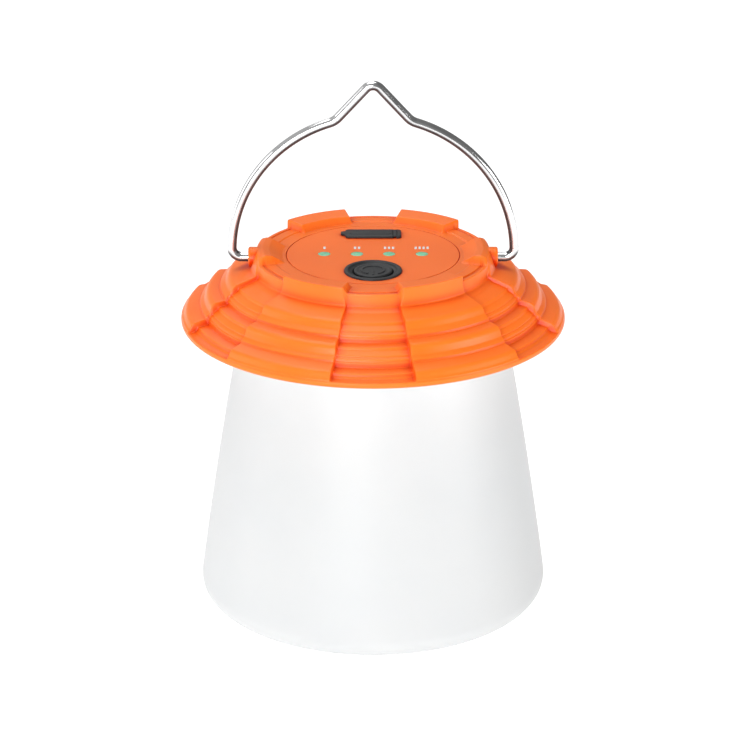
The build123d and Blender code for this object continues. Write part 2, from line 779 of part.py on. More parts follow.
with BuildPart() as cap_base:
    with BuildSketch(Plane.XY.offset(rim_z)):
        Circle(rim_inner - base_gap)
        Circle(collar_inner, mode=Mode.SUBTRACT)
        with base_spots:
            Circle(screw_shaft + screw_clearance, mode=Mode.SUBTRACT)
    extrude(amount=base_thickness)
    with BuildSketch(Plane.XY.offset(rim_z)):
        with base_spots:
            Circle(screw_head + counterbore_gap)
    extrude(amount=screw_head_height, mode=Mode.SUBTRACT)
    with BuildSketch(Plane.XY.offset(base_top)):
        Circle(collar_inner + collar_wall)
        Circle(collar_inner, mode=Mode.SUBTRACT)
    extrude(amount=collar_height)
write(cap_base.part, "cap_base")
write(screws(base_spots, rim_z + screw_head_height), "base_screws")

shoulder_z = rim_z - gasket_thickness
shoulder_radius = neck_outer + shoulder_width
with BuildPart() as diffuser_gasket:
    with BuildSketch(Plane.XY.offset(shoulder_z)):
        Circle(shoulder_radius)
        Circle(neck_outer, mode=Mode.SUBTRACT)
    extrude(amount=gasket_thickness)
write(diffuser_gasket.part, "diffuser_gasket")

hook_z = base_top + collar_height
with BuildPart() as snap_hook:
    with BuildSketch(Plane.XZ):
        with BuildLine():
            Polyline(
                (neck_inner + neck_wall / 2, hook_z),
                (neck_outer + snap_overhang, hook_z),
                (neck_outer + snap_overhang, hook_z + snap_height / 3),
                (neck_outer, neck_top),
                (neck_inner + neck_wall / 2, neck_top),
                close=True,
            )
        make_face()
    revolve(axis=Axis.Z, revolution_arc=snap_half_angle)
    mirror(about=Plane.XZ)

side_slope = (diffuser_foot - shoulder_radius) / shoulder_z
inside_foot = (diffuser_foot - side_slope * diffuser_floor - diffuser_wall, diffuser_floor)
inside_shoulder = (shoulder_radius - diffuser_wall, shoulder_z - diffuser_wall)

with BuildPart() as diffuser:
    with BuildSketch(Plane.XZ) as outside:
        with BuildLine():
            SagittaArc((shoulder_radius, shoulder_z), (diffuser_foot, 0), -diffuser_bulge)
            Polyline(
                (diffuser_foot, 0),
                (0, 0),
                (0, neck_top),
                (neck_outer, neck_top),
                (neck_outer, shoulder_z),
                (shoulder_radius, shoulder_z),
            )
        make_face()
        fillet(outside.vertices().sort_by_distance((diffuser_foot, 0, 0))[0], diffuser_bottom_round)
    revolve(axis=Axis.Z)
    with PolarLocations(0, sector_count):
        add(snap_hook.part)
    with BuildSketch(Plane.XZ) as inside:
        with BuildLine():
            SagittaArc(inside_shoulder, inside_foot, -diffuser_bulge)
            Polyline(
                inside_foot,
                (0, diffuser_floor),
                (0, neck_top),
                (neck_inner, neck_top),
                (neck_inner, shoulder_z),
                inside_shoulder,
            )
        make_face()
        inner_corner = inside.vertices().sort_by_distance((inside_foot[0], 0, inside_foot[1]))[0]
        fillet(inner_corner, diffuser_bottom_round - diffuser_wall)
    revolve(axis=Axis.Z, mode=Mode.SUBTRACT)
    # Slots beside each hook, which let it bend.
    with BuildSketch(Plane.XY.offset(base_top)):
        for slot_turn in (-snap_slot_angle, snap_slot_angle):
            with PolarLocations(neck_outer, sector_count, start_angle=slot_turn):
                Rectangle(3 * neck_wall, snap_slot_width)
    extrude(amount=neck_top - base_top, mode=Mode.SUBTRACT)
write(diffuser.part, "diffuser")

# ================================================================ bail
# Drawn from the pin at +X: a bend, the big round, a reverse bend, a straight leg and half the peak.
hinge_rise = bail_height - hinge_height - bail_peak_radius    # peak's centre above the hinge
leg_out = sin(radians(bail_leg_angle))
leg_up = cos(radians(bail_leg_angle))
reach = leg_up * (hinge_rise - bail_centre) + bail_peak_radius + bail_reverse_bend
round_end = degrees(atan2(leg_up, leg_out) + acos(reach / (bail_radius + bail_reverse_bend)))
corner_x = sqrt((bail_radius - bail_corner) ** 2 - (bail_corner - bail_centre) ** 2)
round_start = degrees(asin((bail_corner - bail_centre) / (bail_radius - bail_corner)))
reverse_turn = round_end + 90 - (180 - bail_leg_angle)
pin_end = boss_face - pin_length

with BuildPart() as bail:
    with BuildLine(Plane(origin=(0, 0, hinge_z), x_dir=(1, 0, 0), z_dir=(0, -1, 0))) as bail_line:
        pin = Line((pin_end, 0), (corner_x, 0))
        bend = JernArc(pin @ 1, pin % 1, bail_corner, 90 + round_start)
        big_round = JernArc(bend @ 1, bend % 1, bail_radius, round_end - round_start)
        reverse = JernArc(big_round @ 1, big_round % 1, bail_reverse_bend, -reverse_turn)
        peak_start = (bail_peak_radius * leg_out, hinge_rise + bail_peak_radius * leg_up)
        leg = Line(reverse @ 1, peak_start)
        mirror(about=Plane.YZ)
        ThreePointArc(
            peak_start,
            (0, hinge_rise + bail_peak_radius),
            (-peak_start[0], peak_start[1]),
        )
    with BuildSketch(Plane(origin=bail_line.wires()[0] @ 0, z_dir=bail_line.wires()[0] % 0)):
        Circle(wire_radius)
    sweep(path=bail_line.wires()[0])
    for side in (1, -1):
        rounds = bail.edges().filter_by(GeomType.CIRCLE)
        chamfer(rounds.sort_by_distance((side * pin_end, 0, hinge_z - wire_radius))[0], pin_chamfer)
write(bail.part, "bail")
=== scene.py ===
"""Looks of a rechargeable lantern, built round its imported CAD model.

Metres, +Z up, origin under the middle of the diffuser, -Y is the front. Lengths written in
millimetres are multiplied by MM where a mesh is made.
"""

import json
from math import acos, asin, atan2, cos, pi, radians, sin, sqrt

import bmesh
import bpy
import numpy as np
from mathutils import Matrix, Vector


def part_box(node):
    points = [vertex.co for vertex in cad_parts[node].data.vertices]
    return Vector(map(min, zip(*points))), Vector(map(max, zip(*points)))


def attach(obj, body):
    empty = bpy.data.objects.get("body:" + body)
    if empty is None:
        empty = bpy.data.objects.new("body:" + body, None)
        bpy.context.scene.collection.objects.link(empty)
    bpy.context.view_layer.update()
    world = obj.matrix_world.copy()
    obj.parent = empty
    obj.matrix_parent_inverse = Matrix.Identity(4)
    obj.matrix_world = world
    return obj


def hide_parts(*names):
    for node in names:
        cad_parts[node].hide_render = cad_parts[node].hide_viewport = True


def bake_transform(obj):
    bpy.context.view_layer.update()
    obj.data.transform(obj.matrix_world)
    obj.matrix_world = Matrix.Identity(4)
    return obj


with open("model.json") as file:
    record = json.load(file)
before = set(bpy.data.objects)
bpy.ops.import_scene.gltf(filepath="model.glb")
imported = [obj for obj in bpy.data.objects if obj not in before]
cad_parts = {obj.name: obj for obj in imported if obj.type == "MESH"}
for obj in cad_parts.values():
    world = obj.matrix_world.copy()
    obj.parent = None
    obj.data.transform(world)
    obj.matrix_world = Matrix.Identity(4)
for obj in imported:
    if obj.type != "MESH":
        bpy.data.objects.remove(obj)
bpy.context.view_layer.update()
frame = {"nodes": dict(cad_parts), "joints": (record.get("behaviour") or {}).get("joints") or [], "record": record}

MM = 0.001
LANTERN, BAIL, BUTTON, FLAP = "lantern", "bail", "button", "port_flap"

# ---------------------------------------------------------------- places, from the frame
cap_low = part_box("cap_shell")[0]
panel_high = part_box("control_panel")[1]
diffuser_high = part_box("diffuser")[1]
bezel_low, bezel_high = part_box("button_bezel")
button_low, button_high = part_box("power_button")
bail_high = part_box("bail")[1]
joints = {joint["name"]: joint for joint in frame["joints"]}

RIM_BOTTOM = 1.3                                        # rim's underside below the brim plane
BRIM_Z = cap_low.z / MM + RIM_BOTTOM
PANEL_R = panel_high.x / MM
PANEL_TOP = panel_high.z / MM - BRIM_Z
HINGE_Z = joints["bail_swing"]["pos_m"][2] / MM


# ================================================================ mesh helpers
def rounded_path(points, radii):
    """A polyline through (r, z) points, with each corner turned into an arc of its radius."""
    path = [np.array(points[0], float)]
    for before, corner, after, radius in zip(points, points[1:], points[2:], radii):
        corner = np.array(corner, float)
        to_before = np.array(before) - corner
        to_after = np.array(after) - corner
        length_before, length_after = np.linalg.norm(to_before), np.linalg.norm(to_after)
        to_before /= length_before
        to_after /= length_after
        half = acos(np.clip(to_before @ to_after, -1, 1)) / 2
        if radius <= 0 or half > pi / 2 - 0.01:
            path.append(corner)
            continue
        reach = min(radius / np.tan(half), 0.48 * length_before, 0.48 * length_after)
        radius = reach * np.tan(half)
        bisector = (to_before + to_after) / np.linalg.norm(to_before + to_after)
        centre = corner + bisector * radius / sin(half)
        across = (to_after - to_before) / np.linalg.norm(to_after - to_before)
        for t in np.linspace(0, 1, 13):
            turn = (pi - 2 * half) * (t - 0.5)
            path.append(centre + radius * (across * sin(turn) - bisector * cos(turn)))
    path.append(np.array(points[-1], float))
    return np.array(path)


def resample(path, count, corner_weight=0.5):
    """count points along a path, closer together where it turns."""
    steps = np.diff(path, axis=0)
    lengths = np.linalg.norm(steps, axis=1)
    keep = np.append(True, lengths > 1e-9)
    path = path[keep]
    steps = np.diff(path, axis=0)
    lengths = np.linalg.norm(steps, axis=1)
    heading = np.unwrap(np.arctan2(steps[:, 1], steps[:, 0]))
    turns = np.abs(np.diff(heading, prepend=heading[0], append=heading[-1]))
    measure = lengths + corner_weight * (turns[:-1] + turns[1:]) / 2
    along = np.append(0, np.cumsum(measure))
    wanted = np.linspace(0, along[-1], count)
    return np.column_stack([np.interp(wanted, along, path[:, axis]) for axis in (0, 1)])


def mesh_object(name, vertices, faces, material, body, smooth=True, sharp=None):
    """A mesh piece in the row frame that rides on a body."""
    mesh = bpy.data.meshes.new(name)
    mesh.from_pydata([tuple(v) for v in vertices], [], faces)
    mesh.validate()
    if smooth:
        mesh.polygons.foreach_set("use_smooth", [True] * len(mesh.polygons))
        if sharp:
            mesh.set_sharp_from_angle(angle=radians(sharp))
    mesh.materials.append(material)
    mesh.update()
    piece = bpy.data.objects.new(name, mesh)
    bpy.context.scene.collection.objects.link(piece)
    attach(piece, body)
    return piece


def grid_faces(rows, columns, closed_rows=False, closed_columns=False):
    """Quads over a rows x columns grid of vertices, wrapped round where asked."""
    faces = []
    for row in range(rows if closed_rows else rows - 1):
        for column in range(columns if closed_columns else columns - 1):
            a = row * columns + column
            b = row * columns + (column + 1) % columns
            c = ((row + 1) % rows) * columns + (column + 1) % columns
            d = ((row + 1) % rows) * columns + column
            faces.append((a, b, c, d))
    return faces


# ================================================================ materials
def new_material(name, colour, roughness, metallic=0.0, **sockets):
    """A Principled material. Returns it with its node tree and its shader node."""
    material = bpy.data.materials.new(name)
    material.use_nodes = True
    tree = material.node_tree
    shader = tree.nodes["Principled BSDF"]
    shader.inputs["Base Color"].default_value = (*colour, 1)
    shader.inputs["Roughness"].default_value = roughness
    shader.inputs["Metallic"].default_value = metallic
    for socket, value in sockets.items():
        shader.inputs[socket.replace("_", " ")].default_value = value
    return material, tree, shader


def texture(tree, kind, scale, stretch=(1, 1, 1), **settings):
    """A procedural texture on object coordinates, scale in repeats per metre."""
    where = tree.nodes.new("ShaderNodeTexCoord")
    mapping = tree.nodes.new("ShaderNodeMapping")
    mapping.inputs["Scale"].default_value = [scale * s for s in stretch]
    made = tree.nodes.new(kind)
    made.inputs["Scale"].default_value = 1.0
    for socket, value in settings.items():
        made.inputs[socket.replace("_", " ")].default_value = value
    tree.links.new(where.outputs["Object"], mapping.inputs["Vector"])
    tree.links.new(mapping.outputs["Vector"], made.inputs["Vector"])
    return made


def ramp(tree, source, low, high, low_at=0.3, high_at=0.7):
    """Colours between low and high by a texture's value."""
    made = tree.nodes.new("ShaderNodeValToRGB")
    made.color_ramp.elements[0].position = low_at
    made.color_ramp.elements[1].position = high_at
    made.color_ramp.elements[0].color = (*low, 1)
    made.color_ramp.elements[1].color = (*high, 1)
    tree.links.new(source, made.inputs["Fac"])
    return made.outputs["Color"]


def value_range(tree, source, low, high, from_low=0.3, from_high=0.7):
    """A texture's value moved into a range."""
    made = tree.nodes.new("ShaderNodeMapRange")
    made.inputs["From Min"].default_value = from_low
    made.inputs["From Max"].default_value = from_high
    made.inputs["To Min"].default_value = low
    made.inputs["To Max"].default_value = high
    tree.links.new(source, made.inputs["Value"])
    return made.outputs["Result"]


def mix_colours(tree, factor, a, b, blend="MIX"):
    """Colour a to colour b by factor; each is a socket or an (r, g, b)."""
    made = tree.nodes.new("ShaderNodeMix")
    made.data_type = "RGBA"
    made.blend_type = blend
    for socket, value in zip(("Factor", "A", "B"), (factor, a, b)):
        index = {"Factor": 0, "A": 6, "B": 7}[socket]
        if isinstance(value, bpy.types.NodeSocket):
            tree.links.new(value, made.inputs[index])
        elif index == 0:
            made.inputs[0].default_value = value
        else:
            made.inputs[index].default_value = (*value, 1)
    return made.outputs[2]


def add_bump(tree, shader, height, distance, strength=1.0, after=None):
    """Relief of a given depth in metres, on top of an earlier bump if there is one."""
    made = tree.nodes.new("ShaderNodeBump")
    made.inputs["Distance"].default_value = distance
    made.inputs["Strength"].default_value = strength
    tree.links.new(height, made.inputs["Height"])
    if after:
        tree.links.new(after.outputs["Normal"], made.inputs["Normal"])
    tree.links.new(made.outputs["Normal"], shader.inputs["Normal"])
    return made


def crease_shade(tree, reach):
    """1 in the open, falling towards 0 deep in a crease no wider than reach."""
    made = tree.nodes.new("ShaderNodeAmbientOcclusion")
    made.samples = 8
    made.inputs["Distance"].default_value = reach
    return made.outputs["AO"]


def orange_plastic(name, light, deep, roughness, grain, shine):
    """Moulded ABS: fine spark-eroded grain, faint flow clouds, and painted shade that deepens the colour in the
    creases.
    """
    material, tree, shader = new_material(
        name, light, roughness, Specular_IOR_Level=shine, Subsurface_Weight=0.1, Subsurface_Scale=0.003
    )
    shader.inputs["Subsurface Radius"].default_value = (1.0, 0.35, 0.1)
    clouds = texture(tree, "ShaderNodeTexNoise", 45, Detail=3.0, Roughness=0.55)
    pale = tuple(min(1, c * 1.03 + 0.006) for c in light)
    surface = ramp(tree, clouds.outputs["Fac"], light, pale)
    # Painted shade: ambient occlusion darkens the colour towards deep orange in creases and hollows.
    creases = value_range(tree, crease_shade(tree, 0.0035), 0, 1, 0.58, 1.0)
    tree.links.new(mix_colours(tree, creases, deep, surface), shader.inputs["Base Color"])
    fine = texture(tree, "ShaderNodeTexNoise", 2600, Detail=2.0, Roughness=0.6)
    tree.links.new(
        value_range(tree, clouds.outputs["Fac"], roughness - 0.04, roughness + 0.05),
        shader.inputs["Roughness"],
    )
    add_bump(tree, shader, fine.outputs["Fac"], grain)
    return material


def bright_wire():
    """Plated wire with fine drawing lines, painted dark where bright_side is 0.

    The dark side is a stand-in for dark surroundings that real plating would reflect. Real wire
    is bright all round, so this belongs to the lights and not to the material.
    """
    material, tree, shader = new_material("bright_wire", (0.83, 0.83, 0.84), 0.12, 1.0)
    # Mask of the painted reflection: 1 where the wire keeps its bright colour, 0 on its inner side and underside,
    # which are painted dark.
    painted_reflection_mask = tree.nodes.new("ShaderNodeAttribute")
    painted_reflection_mask.attribute_name = "bright_side"
    cloud = texture(tree, "ShaderNodeTexNoise", 220, Detail=4.0)
    tree.links.new(
        value_range(tree, cloud.outputs["Fac"], 0.07, 0.17), shader.inputs["Roughness"]
    )
    bright = ramp(tree, cloud.outputs["Fac"], (0.74, 0.745, 0.75), (0.82, 0.82, 0.825))
    dark = ramp(tree, cloud.outputs["Fac"], (0.03, 0.032, 0.035), (0.06, 0.06, 0.065))
    tone = mix_colours(tree, painted_reflection_mask.outputs["Fac"], dark, bright)
    tree.links.new(tone, shader.inputs["Base Color"])
    tree.links.new(value_range(tree, painted_reflection_mask.outputs["Fac"], 0, 1, 0, 1), shader.inputs["Metallic"])
    drawn = texture(tree, "ShaderNodeTexNoise", 900, stretch=(0.25, 4, 0.25), Detail=2.0)
    add_bump(tree, shader, drawn.outputs["Fac"], 0.000006)
    return material


def frosted_white():
    """Frosted diffuser: milky, softly translucent, with a fine blasted texture."""
    material, tree, shader = new_material(
        "frosted_white", (0.6, 0.6, 0.6), 0.42, IOR=1.49,
        Subsurface_Weight=0.35, Subsurface_Scale=0.006,
    )
    shader.inputs["Subsurface Radius"].default_value = (1.0, 0.95, 0.9)
    cloud = texture(tree, "ShaderNodeTexNoise", 30, Detail=3.0)
    tone = ramp(tree, cloud.outputs["Fac"], (0.585, 0.595, 0.6), (0.61, 0.615, 0.615))
    tree.links.new(tone, shader.inputs["Base Color"])
    tree.links.new(
        value_range(tree, cloud.outputs["Fac"], 0.38, 0.47), shader.inputs["Roughness"]
    )
    frost = texture(tree, "ShaderNodeTexNoise", 4200, Detail=2.0, Roughness=0.65)
    add_bump(tree, shader, frost.outputs["Fac"], 0.000012)
    return material


def black_rubber():
    """Silicone rubber with a dull bluish sheen and a fine matt skin."""
    material, tree, shader = new_material(
        "black_rubber", (0.018, 0.02, 0.023), 0.45, Specular_IOR_Level=0.35
    )
    dust = texture(tree, "ShaderNodeTexNoise", 380, Detail=5.0, Roughness=0.7)
    tone = ramp(tree, dust.outputs["Fac"], (0.011, 0.013, 0.015), (0.026, 0.028, 0.03))
    tree.links.new(tone, shader.inputs["Base Color"])
    tree.links.new(
        value_range(tree, dust.outputs["Fac"], 0.36, 0.52), shader.inputs["Roughness"]
    )
    skin = texture(tree, "ShaderNodeTexNoise", 3600, Detail=3.0)
    add_bump(tree, shader, skin.outputs["Fac"], 0.00002)
    return material


def green_lens():
    """Translucent green light pipe, cloudy inside."""
    material, tree, shader = new_material(
        "green_lens", (0.2, 0.62, 0.36), 0.3, Subsurface_Weight=0.4, Subsurface_Scale=0.002
    )
    cloud = texture(tree, "ShaderNodeTexVoronoi", 900)
    tone = ramp(tree, cloud.outputs["Distance"], (0.27, 0.72, 0.46), (0.17, 0.56, 0.33), 0, 0.8)
    tree.links.new(tone, shader.inputs["Base Color"])
    ripple = texture(tree, "ShaderNodeTexNoise", 1500)
    add_bump(tree, shader, ripple.outputs["Fac"], 0.00002)
    return material


def plain_texture(name, low, high, roughness, metallic=0.0, scale=400, stretch=(1, 1, 1), depth=0.00002):
    """A two-tone procedural surface for the pieces inside the lantern."""
    material, tree, shader = new_material(name, low, roughness, metallic)
    noise = texture(tree, "ShaderNodeTexNoise", scale, stretch, Detail=4.0, Roughness=0.6)
    tree.links.new(ramp(tree, noise.outputs["Fac"], low, high), shader.inputs["Base Color"])
    tree.links.new(
        value_range(tree, noise.outputs["Fac"], roughness - 0.07, roughness + 0.07),
        shader.inputs["Roughness"],
    )
    add_bump(tree, shader, noise.outputs["Fac"], depth)
    return material


def print_ink():
    """Matt white pad print with a slightly uneven coat."""
    material, tree, shader = new_material("print_white", (0.8, 0.79, 0.77), 0.55)
    coat = texture(tree, "ShaderNodeTexNoise", 900, Detail=3.0)
    tone = ramp(tree, coat.outputs["Fac"], (0.72, 0.70, 0.67), (0.84, 0.83, 0.81))
    tree.links.new(tone, shader.inputs["Base Color"])
    add_bump(tree, shader, coat.outputs["Fac"], 0.000004)
    return material


ORANGE = (0.97, 0.172, 0.011)
# Painted shade: the colour that the orange darkens to in creases.
ORANGE_PAINTED_SHADE = (0.66, 0.04, 0.0)
cap_plastic = orange_plastic("orange_abs", ORANGE, ORANGE_PAINTED_SHADE, 0.34, 0.00002, 0.3)
panel_plastic = orange_plastic(
    "orange_panel", (1.0, 0.18, 0.028), ORANGE_PAINTED_SHADE, 0.45, 0.00004, 0.2
)
wire_metal = bright_wire()
diffuser_plastic = frosted_white()
rubber = black_rubber()
lens_plastic = green_lens()
print_white = print_ink()

INNER_FINISHES = {
    "screw_steel": ((0.42, 0.42, 0.43), (0.62, 0.62, 0.63), 0.35, 1.0, 900),
    "seal_rubber": ((0.18, 0.18, 0.19), (0.28, 0.28, 0.29), 0.7, 0.0, 700),
    "circuit_board": ((0.015, 0.12, 0.05), (0.03, 0.22, 0.09), 0.4, 0.0, 500),
    "chip_black": ((0.02, 0.02, 0.022), (0.045, 0.045, 0.05), 0.5, 0.0, 1200),
    "led_package": ((0.85, 0.72, 0.25), (0.95, 0.88, 0.55), 0.3, 0.0, 900),
    "socket_steel": ((0.55, 0.55, 0.57), (0.74, 0.74, 0.76), 0.3, 1.0, 700),
    "cell_wrap": ((0.03, 0.12, 0.42), (0.06, 0.2, 0.55), 0.3, 0.0, 120),
    "nickel": ((0.55, 0.54, 0.5), (0.7, 0.69, 0.64), 0.3, 1.0, 800),
    "tray_plastic": ((0.74, 0.74, 0.72), (0.84, 0.84, 0.82), 0.5, 0.0, 300),
    "board_aluminium": ((0.8, 0.8, 0.8), (0.9, 0.9, 0.9), 0.4, 0.0, 300),
    "reflector_white": ((0.88, 0.88, 0.88), (0.95, 0.95, 0.95), 0.3, 0.0, 250),
}
slot_materials = {
    "orange_abs": cap_plastic,
    "orange_abs_panel": panel_plastic,
    "black_rubber": rubber,
    "green_lens": lens_plastic,
    "bright_wire": wire_metal,
    "frosted_white": diffuser_plastic,
}
for slot, (low, high, roughness, metallic, scale) in INNER_FINISHES.items():
    slot_materials[slot] = plain_texture(slot, low, high, roughness, metallic, scale)

for subpart in frame["record"]["subparts"]:
    cad_piece = frame["nodes"][subpart["node"]]
    cad_piece.data.materials.clear()
    cad_piece.data.materials.append(slot_materials[subpart["material_slot"]])


# ================================================================ cap
# Outlines as (radius, height above the brim plane), in millimetres.
SECTORS = 6
RAISED_EDGE = 17.6           # half of a raised sector's angle, degrees
WALL_TURN = 0.5              # angle that the side wall of a channel takes up
MERLON_END_TURN = 2.0        # the same at a merlon's top, where its end wall slopes
EAR_END_TURN = 3.6           # the same at an ear's top
PANEL_EDGE = PANEL_R + 0.1
PANEL_THICKNESS = 1.8
PANEL_SEAT = PANEL_TOP - PANEL_THICKNESS
SILL = 19.9

raised_tiles = (
    ([(38.1, 16.35), (44.9, 14.1), (46.0, 11.9), (47.5, 10.7), (47.75, 9.8)], (3.2, 0.9, 0.35)),
    ([(47.75, 9.8), (51.8, 9.2), (52.7, 6.2), (53.9, 5.2), (54.1, 4.4)], (2.8, 0.9, 0.35)),
    ([(54.1, 4.4), (58.2, 3.2), (59.2, 1.4), (59.7, 0.9), (59.75, 0.5)], (2.2, 0.7, 0.2)),
)
channel_tiles = (
    (
        [(37.2, 15.8), (39.0, 14.8), (43.3, 13.4), (43.7, 12.6), (45.5, 11.5), (45.6, 11.1),
         (46.5, 10.6), (46.65, 9.9), (47.0, 9.7), (47.1, 8.6), (47.2, 8.4)],
        (0.3, 0.25, 0.12, 0.2, 0.08, 0.2, 0.1, 0.12, 0.1),
    ),
    (
        [(47.2, 8.4), (49.9, 7.9), (50.2, 7.1), (51.8, 6.0), (51.9, 5.6), (52.7, 5.1),
         (52.85, 4.4), (53.2, 4.2), (53.3, 2.9), (53.4, 2.7)],
        (0.35, 0.12, 0.25, 0.08, 0.2, 0.1, 0.12, 0.1),
    ),
    (
        [(53.4, 2.7), (56.5, 2.1), (56.8, 1.3), (57.4, 0.75), (59.0, 0.5), (59.75, 0.5)],
        (0.35, 0.12, 0.2, 0.2),
    ),
)
# Each crown is a top, from the panel's edge to its outer edge, and a face down to the first tile.
crown_tops = {
    "channel": (
        [(PANEL_EDGE, SILL - 0.15), (31.2, SILL - 0.15), (31.6, SILL + 0.1), (34.6, SILL + 0.1),
         (34.9, SILL - 0.3), (35.4, SILL - 0.3), (35.7, SILL), (36.3, SILL)],
        (0.3, 0.3, 0.15, 0.12, 0.15, 0.2),
    ),
    "merlon": (
        [(PANEL_EDGE, SILL - 0.15), (29.6, SILL - 0.15), (31.4, 21.75), (37.3, 22.15)],
        (0.4, 0.5),
    ),
    "ear": (
        [(PANEL_EDGE, SILL - 0.15), (28.3, SILL - 0.1), (32.2, 22.1), (34.3, 22.4), (35.5, 22.05)],
        (1.2, 1.6, 1.5),
    ),
}
crown_faces = {
    "channel": ([(36.3, SILL), (36.75, SILL), (37.0, 16.2), (37.2, 15.8)], (0.35, 0.15)),
    "merlon": (
        [(37.3, 22.15), (37.85, 22.15), (37.9, 19.6), (37.95, 16.7), (38.1, 16.35)],
        (0.5, 1.0, 0.3),
    ),
    "ear": ([(35.5, 22.05), (36.1, 21.7), (37.2, 19.2), (37.9, 16.7), (38.1, 16.35)], (0.5, 1.5, 0.3)),
}
rim_outline = (
    [(59.75, 0.5), (60.0, 0.3), (60.0, -0.7), (59.55, -RIM_BOTTOM), (57.0, -RIM_BOTTOM)],
    (0.2, 0.35, 0.3),
)
inside_outline = [
    (57.0, 1.1), (51.3, 1.5), (50.6, 3.4), (48.7, 6.3), (44.5, 6.9), (43.4, 8.6), (42.0, 11.2),
    (34.8, 13.5), (33.3, 16.5), (25.0, 16.5), (25.0, PANEL_SEAT),
]
TOP_POINTS, FACE_POINTS, TILE_POINTS, RIM_POINTS = 70, 24, 46, 14


def outline_points(outline, count):
    """Evenly counted points along an outline of corner points and radii."""
    return resample(rounded_path(*outline), count)


def sector_turns():
    """Angles from a raised sector's middle to a channel's middle, close together at the edge."""
    edge = RAISED_EDGE
    open_raised = np.linspace(0, edge - 3.6, 8)[:-1]
    sloped_end = np.linspace(edge - 3.6, edge - 0.45, 12)
    side_wall = np.linspace(edge - 0.3, edge + 0.4, 8)
    open_channel = np.linspace(edge + 0.8, 180 / SECTORS, 6)
    half = np.concatenate([open_raised, sloped_end, side_wall, open_channel])
    return np.concatenate([-half[:0:-1], half])[:-1]


def soft_step(value):
    """0 to 1, with slightly rounded ends."""
    value = np.clip(value, 0, 1)
    return 0.5 * value + 0.5 * value * value * (3 - 2 * value)


def crown_section(kind):
    """A crown's outline, with its top's points at even shares of its width."""
    top = rounded_path(*crown_tops[kind])
    radii = np.linspace(top[0, 0], top[-1, 0], TOP_POINTS)
    heights = np.interp(radii, top[:, 0], top[:, 1])
    wall = [(PANEL_EDGE, PANEL_SEAT), (PANEL_EDGE, SILL - 0.8)]
    face = outline_points(crown_faces[kind], FACE_POINTS)[1:]
    return np.vstack([wall, np.column_stack([radii, heights]), face])


def cap_skin():
    """The whole cap shell as one closed skin, with its section changing from angle to angle."""
    tiles_raised = np.vstack([outline_points(t, TILE_POINTS)[1:] for t in raised_tiles])
    tiles_channel = np.vstack([outline_points(t, TILE_POINTS)[1:] for t in channel_tiles])
    crowns = {kind: crown_section(kind) for kind in crown_tops}
    shared = np.vstack([outline_points(rim_outline, RIM_POINTS)[1:], inside_outline])
    edge = RAISED_EDGE + 0.3
    rows = []
    for sector in range(SECTORS):
        middle = sector * 360 / SECTORS
        kind = "ear" if sector in (0, SECTORS // 2) else "merlon"
        end_turn = EAR_END_TURN if kind == "ear" else MERLON_END_TURN
        # End walls slope above the sills and are steep below them.
        heights = crowns[kind][:, 1]
        widths = np.interp(heights, [16.5, SILL - 0.2], [WALL_TURN, end_turn])
        for turn in sector_turns():
            weight = soft_step((edge - abs(turn)) / widths)[:, None]
            head = crowns["channel"] + weight * (crowns[kind] - crowns["channel"])
            weight = soft_step((edge - abs(turn)) / WALL_TURN)
            body = tiles_channel + weight * (tiles_raised - tiles_channel)
            section = np.vstack([head, body, shared])
            angle = radians(middle + turn)
            rows.append(
                np.column_stack(
                    [section[:, 0] * cos(angle), section[:, 0] * sin(angle), section[:, 1] + BRIM_Z]
                )
            )
    vertices = np.vstack(rows) * MM
    faces = grid_faces(len(rows), len(rows[0]), closed_rows=True, closed_columns=True)
    skin = mesh_object("cap_skin", vertices, faces, cap_plastic, LANTERN)
    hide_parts("cap_shell")


cap_skin()


# ================================================================ pieces turned or cut in mesh
def lathe(name, outline, radii, material, body, centre=(0, 0), count=60, turns=160, weight=0.5):
    """A turned piece: (radius, z) points in millimetres, round the vertical through centre.

    An outline that starts and ends on the axis is closed there; any other is joined end to end.
    """
    path = resample(rounded_path(outline, radii), count, weight)
    on_axis = outline[0][0] == 0
    rows = []
    for angle in np.linspace(0, 2 * pi, turns, endpoint=False):
        rows.append(
            np.column_stack(
                [path[:, 0] * cos(angle) + centre[0], path[:, 0] * sin(angle) + centre[1], path[:, 1]]
            )
        )
    faces = grid_faces(turns, count, closed_rows=True, closed_columns=not on_axis)
    piece = mesh_object(name, np.vstack(rows) * MM, faces, material, body)
    if on_axis:
        weld(piece)
    return piece


def weld(piece):
    """Joins vertices that lie on one another and drops the faces that this closes up."""
    work = bmesh.new()
    work.from_mesh(piece.data)
    bmesh.ops.remove_doubles(work, verts=work.verts, dist=1e-8)
    bmesh.ops.recalc_face_normals(work, faces=work.faces)
    work.to_mesh(piece.data)
    work.free()


def rounded_polygon(corners, radii, steps=8):
    """A closed outline of (x, y) corners, each turned into an arc of its radius."""
    points = []
    for index, corner in enumerate(corners):
        corner = np.array(corner, float)
        before = np.array(corners[index - 1], float) - corner
        after = np.array(corners[(index + 1) % len(corners)], float) - corner
        before /= np.linalg.norm(before)
        after /= np.linalg.norm(after)
        half = acos(np.clip(before @ after, -1, 1)) / 2
        reach = radii[index] / np.tan(half)
        centre = corner + (before + after) / np.linalg.norm(before + after) * radii[index] / sin(half)
        start, end = corner + before * reach, corner + after * reach
        first = atan2(*(start - centre)[::-1])
        sweep = (atan2(*(end - centre)[::-1]) - first + pi) % (2 * pi) - pi
        for step in range(steps + 1):
            angle = first + sweep * step / steps
            points.append(centre + radii[index] * np.array([cos(angle), sin(angle)]))
    return np.array(points)


def shrunk(outline, amount):
    """A counter-clockwise outline moved inward by an amount, along its own normals."""
    along = np.roll(outline, -1, axis=0) - np.roll(outline, 1, axis=0)
    along /= np.linalg.norm(along, axis=1)[:, None]
    return outline + amount * np.column_stack([-along[:, 1], along[:, 0]])


